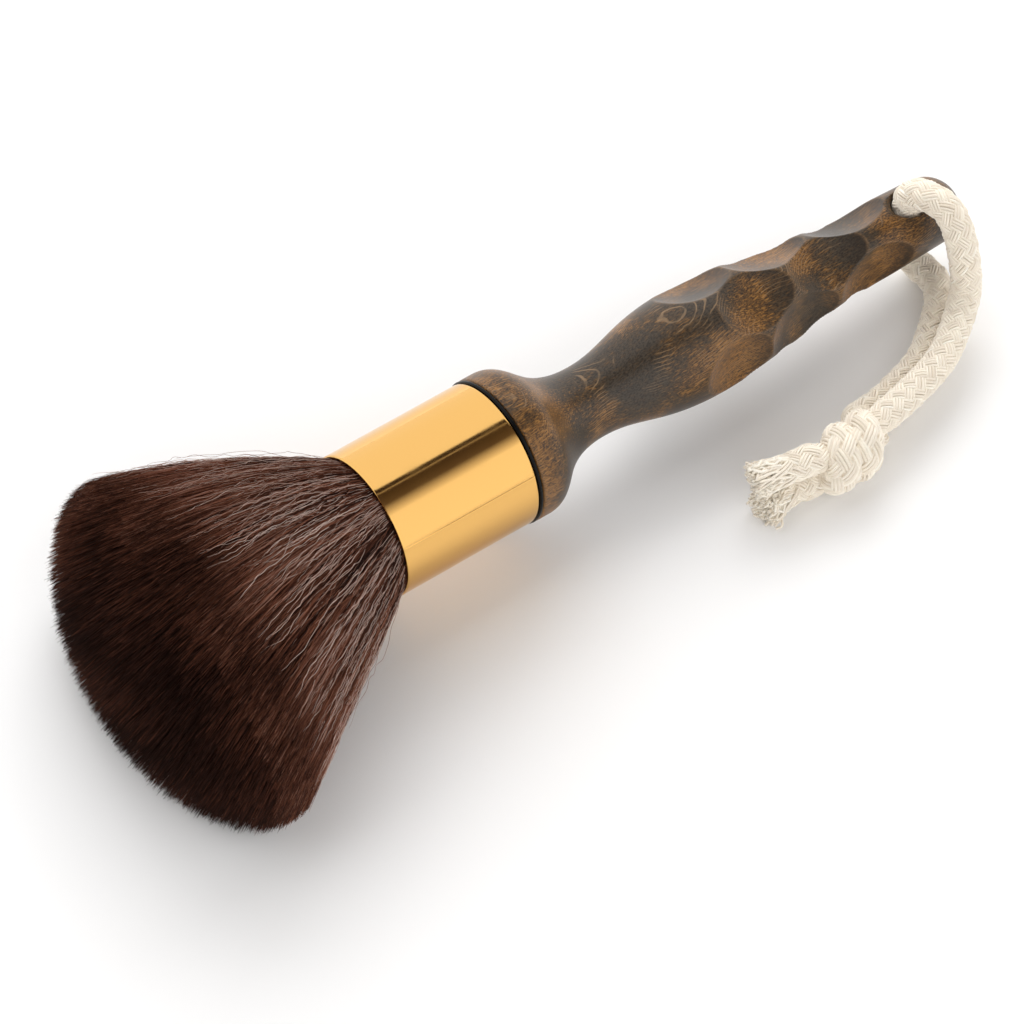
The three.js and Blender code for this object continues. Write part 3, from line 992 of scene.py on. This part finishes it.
def wood_rings(columns):
    """Rings of points on the wood from the tenon to the domed end, closer together at that end."""
    outline = body_outline()
    dome_start = 0.65
    stations = np.linspace(outline[0, 0], END_STATION - (1 - dome_start) * DOME_RADIUS, 300)
    bends = np.linspace(np.arcsin(dome_start), pi / 2 - 0.02, 22)[1:]
    stations = np.concatenate([stations, END_STATION - DOME_RADIUS * (1 - np.sin(bends))])
    radii = np.interp(stations, outline[:, 0], outline[:, 1])
    turn = np.arange(columns) * FULL_TURN / columns
    front, front_radii = front_outline().T
    return np.concatenate([
        brush_point(front[:, None], front_radii[:, None], turn[None]),
        brush_point(stations[:, None], scooped(stations, radii, turn), turn[None]),
    ])


def bore(piece):
    """Cuts the cord's hole through a piece."""
    cutter = hole_cutter()
    cut = piece.modifiers.new("hole", "BOOLEAN")
    cut.object = cutter
    cut.solver = "EXACT"
    bpy.context.view_layer.update()
    bored = piece.evaluated_get(bpy.context.evaluated_depsgraph_get())
    result = bpy.data.meshes.new_from_object(bored)
    piece.modifiers.clear()
    piece.data = result
    piece.data.materials.clear()
    bpy.data.objects.remove(cutter)


def make_handle():
    """The turned and scooped wood in one piece, from its tenon in the ferrule to its domed end."""
    piece = grid_mesh("wooden_handle", wood_rings(240), capped=True)
    bore(piece)
    piece.data.materials.append(wood_material())
    mark_scoops(piece)
    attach(piece, "brush")
    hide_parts("handle")


def wood_warmth(paint, place, fibres):
    """Where the stain is thin and the wood shows warm: in patches, on the collar and the belly,
    a little in the scoops, and along single fibres.
    """
    patches = paint.noise(place, 0.07, detail=2.0, roughness=0.45)
    along = paint.add("SeparateXYZ", {0: place}).outputs[0]
    share = paint.add("MapRange", {"Value": along, "From Max": END_STATION / MM}).outputs[0]
    heat = paint.ramp(share, (0.22, 0.24), (0.27, 0.05), (0.36, 0.0), (0.5, 0.045),
                      (0.75, 0.045), (0.88, 0.0))
    warm = paint.math("ADD", patches, heat)
    warm = paint.math("ADD", warm, paint.math("MULTIPLY", paint.attribute("scoop"), 0.05))
    return paint.math("ADD", warm, paint.math("MULTIPLY", fibres, 0.4))


def wood_material():
    """Dark stained beech: growth rings cut through by the turned shape, fine fibres lengthwise."""
    paint = Paint("stained_beech", Specular_IOR_Level=0.34, Coat_Weight=0.08, Coat_Roughness=0.25)
    place = paint.place(start=tuple(RIM), turn=(0, LEAN, 0))
    waves = paint.add("TexNoise", {"Vector": place, "Scale": 0.05, "Detail": 1.0}).outputs["Color"]
    sway = paint.add("VectorMath", {0: waves, "Scale": 5.0}, operation="SCALE").outputs[0]
    grown = paint.add("VectorMath", {0: place, 1: sway}, operation="ADD").outputs[0]

    def grain(lengthwise, sideways, upwards, detail):
        """Noise drawn out by different amounts along the wood, across it and through its rings."""
        where = paint.add("Mapping", {"Vector": grown, "Scale": (lengthwise, sideways, upwards)})
        return paint.noise(where.outputs[0], 1.0, detail=detail)

    patches_fine = paint.noise(place, 0.3, detail=1.0)
    ring_spacing = 0.5
    height = paint.add("SeparateXYZ", {0: grown}).outputs[2]
    ring_phase = paint.math("MULTIPLY", height, FULL_TURN / ring_spacing)
    rings = paint.math("SINE", paint.math("ADD", ring_phase, paint.math("MULTIPLY", patches_fine, 5.0)))
    fibres = grain(0.55, 3.4, 3.4, 2.0)
    flecks = grain(0.4, 3.0, 3.0, 1.0)
    mottle = grain(1.8, 3.6, 3.6, 2.0)
    warm = wood_warmth(paint, place, fibres)
    stain = paint.ramp(warm, (0.64, (0.054, 0.041, 0.028)), (0.76, (0.07, 0.043, 0.021)),
                       (0.84, (0.122, 0.058, 0.017)), (0.95, (0.22, 0.097, 0.021)))
    grainy = paint.mix(paint.ramp(mottle, (0.38, 0.85), (0.58, 0.0)), stain, (0.016, 0.011, 0.008))
    light = paint.math("MULTIPLY", paint.ramp(flecks, (0.54, 0.0), (0.68, 0.7)),
                       paint.ramp(warm, (0.68, 0.12), (0.86, 1.0)))
    flecked = paint.mix(light, grainy, (0.35, 0.165, 0.042))
    arcs = paint.math("MULTIPLY", paint.ramp(rings, (0.72, 0.0), (0.96, 0.6)),
                      paint.ramp(paint.noise(place, 0.14, detail=3.0), (0.5, 0.0), (0.62, 1.0)))
    ringed = paint.mix(arcs, flecked, (0.3, 0.19, 0.1))
    # Painted shade: the rising wall of each scoop is darkened towards near black.
    scoop_shade = paint.math("MULTIPLY", paint.attribute("rising"), 0.7)
    scoop_shaded = paint.mix(scoop_shade, ringed, (0.02, 0.014, 0.01))
    wear = paint.math("MULTIPLY", paint.attribute("rim"), paint.ramp(fibres, (0.35, 0.1), (0.65, 0.55)))
    worn = paint.mix(wear, scoop_shaded, (0.26, 0.15, 0.07))
    paint.set(paint.shader, {
        "Base_Color": worn,
        "Roughness": paint.ramp(mottle, (0.3, 0.3), (0.7, 0.45)),
        "Normal": paint.bump(fibres, 0.05 * MM, 0.4),
    })
    return paint.material


# Studio

def make_floor():
    mesh = bpy.data.meshes.new("floor")
    build = bmesh.new()
    bmesh.ops.create_grid(build, x_segments=1, y_segments=1, size=3.0)
    build.to_mesh(mesh)
    build.free()
    floor = bpy.data.objects.new("floor", mesh)
    bpy.context.scene.collection.objects.link(floor)
    paint = Paint("paper", Base_Color=(0.98, 0.98, 0.98, 1), Roughness=0.9)
    mesh.materials.append(paint.material)


def make_light(name, place, size, power):
    """A soft lamp that faces the origin, which is on the table under the brush's middle."""
    data = bpy.data.lights.new(name, "AREA")
    data.shape = "RECTANGLE"
    data.size, data.size_y = size
    data.energy = power
    lamp = bpy.data.objects.new(name, data)
    lamp.location = place
    lamp.rotation_euler = (-Vector(place)).to_track_quat("-Z", "Y").to_euler()
    lamp.visible_glossy = False
    bpy.context.scene.collection.objects.link(lamp)


# The sky's level by degrees from overhead towards the near side.
STRIP = (
    (-7, 1.0),
    (-5.5, 0.02),
    (0, 0.04),
    (1.2, 0.55),
    (2.4, 0.05),
    (20, 0.1),
    (36, 0.85),
    (38, 1.0),
)


def warm_light(level):
    """White light at a level, which grows a little warmer as it falls."""
    return (level, level ** 1.1, level ** 1.16)


def make_sky():
    """A white sky, a little brighter on the near side, with a dark strip overhead that has one
    thin light line in it.
    """
    world = bpy.data.worlds.new("studio")
    world.use_nodes = True
    nodes = Nodes(world.node_tree)
    where = nodes.add("TexCoord", {}).outputs["Generated"]
    parts = nodes.add("SeparateXYZ", {0: where}).outputs
    turn = nodes.math("ARCTAN2", nodes.math("MULTIPLY", parts["Y"], -1.0), parts["Z"])
    first, last = -30, 70
    share = nodes.add("MapRange", {"Value": turn, "From Min": radians(first), "From Max": radians(last)})
    stops = [((degrees - first) / (last - first), warm_light(level)) for degrees, level in STRIP]
    strip = nodes.ramp(share.outputs[0], *stops)
    away = nodes.add("MapRange", {"Value": parts["Y"], "From Min": -1.0, "From Max": 1.0})
    far = warm_light(0.93)
    glow = nodes.ramp(away.outputs[0], (0.0, warm_light(1.0)), (0.5, far), (1.0, far))
    both = nodes.add("Mix", {0: 1.0, 6: strip, 7: glow}, data_type="RGBA", blend_type="MULTIPLY")
    nodes.set(nodes.tree.nodes["Background"], {"Color": both.outputs[2], "Strength": 1.35})
    bpy.context.scene.world = world


def make_studio():
    make_floor()
    make_light("key", (0.5, 0.9, 0.8), (1.0, 0.8), 9)
    make_sky()
    bpy.context.scene.view_settings.view_transform = "Standard"


make_camera()
make_cord()
make_tuft()
make_ferrule()
make_spacer()
finish_plug()
make_handle()
make_studio()
